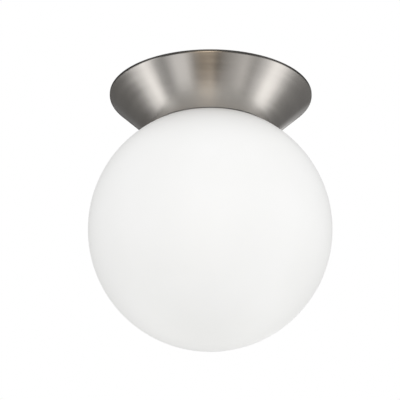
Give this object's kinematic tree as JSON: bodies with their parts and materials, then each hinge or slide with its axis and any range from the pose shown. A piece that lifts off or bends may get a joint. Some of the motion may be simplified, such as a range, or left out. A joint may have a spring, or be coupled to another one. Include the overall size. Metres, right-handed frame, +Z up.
{
  "type": "flush mount ceiling light",
  "caption": "Flush mount ceiling light: an opal glass globe screwed up into a brushed nickel cone that widens to the ceiling, with a screw-cap bulb inside.",
  "frame": {"origin": "where the light's axis meets the ceiling, in the plane of the bracket's upper face and the cone's rim", "axes": "+Z up into the ceiling along the light's axis; +X along the bracket's slotted arm; +Y along the arm of the canopy screws"},
  "size_m": [0.254, 0.254, 0.28],
  "materials": {
    "brushed_nickel": "satin nickel plate, brushed round the axis",
    "zinc_plate": "bright zinc plate on pressed sheet",
    "zinc_screws": "bright zinc plate on steel screws",
    "nickel_nuts": "satin nickel plate on knurled brass",
    "cast_collar": "die cast, painted white",
    "grommet_rubber": "black rubber",
    "glass_fibre": "pale glass fibre felt",
    "porcelain": "white glazed porcelain",
    "nickel_brass": "nickel plate on thin brass",
    "contact_brass": "bare brass",
    "black_lead": "black insulation",
    "white_lead": "white insulation",
    "green_lead": "green insulation",
    "tinned_brass": "tin plate on brass",
    "green_screw": "steel, dyed green",
    "block_plastic": "white moulded plastic",
    "black_insulator": "black moulded plastic",
    "cap_metal": "nickel plate on rolled sheet",
    "bulb_body": "white moulded plastic",
    "bulb_diffuser": "frosted white plastic",
    "board_aluminium": "white solder mask on aluminium",
    "led_phosphor": "yellow phosphor",
    "gasket_rubber": "white foam rubber",
    "opal_glass": "blown opal glass, satin etched outside"
  },
  "bodies": {
    "fixture": {"mounting_bracket": "zinc_plate", "canopy_screws": "zinc_screws", "lock_nuts": "zinc_screws", "cap_nuts": "nickel_nuts", "canopy": "brushed_nickel", "fitter_cup": "zinc_plate", "thread_collar": "cast_collar", "collar_screws": "zinc_screws", "wire_grommet": "grommet_rubber", "insulation_pad": "glass_fibre", "holder_strap": "zinc_plate", "strap_screws": "zinc_screws", "side_screws": "zinc_screws", "lampholder_body": "porcelain", "screw_shell": "nickel_brass", "centre_contact": "contact_brass", "contact_rivet": "contact_brass", "line_lead": "black_lead", "neutral_lead": "white_lead", "earth_lead": "green_lead", "earth_lug": "tinned_brass", "earth_screw": "green_screw", "terminal_block": "block_plastic", "terminal_screws": "contact_brass", "block_screw": "zinc_screws"},
    "gasket": {"globe_gasket": "gasket_rubber"},
    "globe": {"globe": "opal_glass"},
    "bulb_tip": {"bulb_tip": "tinned_brass"},
    "bulb": {"bulb_insulator": "black_insulator", "bulb_cap": "cap_metal", "bulb_housing": "bulb_body", "bulb_dome": "bulb_diffuser", "led_board": "board_aluminium", "leds": "led_phosphor"}
  },
  "joints": [
    {"name": "globe_drop", "type": "slide", "parent": "fixture", "child": "gasket", "axis": [0, 0, 1], "range_m": [-0.016, 0]},
    {"name": "globe_turn", "type": "hinge", "parent": "gasket", "child": "globe", "pos_m": [0, 0, -0.03], "axis": [0, 0, 1], "range_deg": [-720, 0]},
    {"name": "bulb_travel", "type": "slide", "parent": "fixture", "child": "bulb_tip", "axis": [0, 0, 1], "range_m": [-0.02177, 0]},
    {"name": "bulb_turn", "type": "hinge", "parent": "bulb_tip", "child": "bulb", "pos_m": [0, 0, -0.05], "axis": [0, 0, 1], "range_deg": [-2160, 0]}
  ],
  "couplings": [
    {"joint": "globe_drop", "follows": "globe_turn", "m_per_rad": 0.0012732},
    {"joint": "bulb_travel", "follows": "bulb_turn", "m_per_rad": 0.00057751}
  ]
}
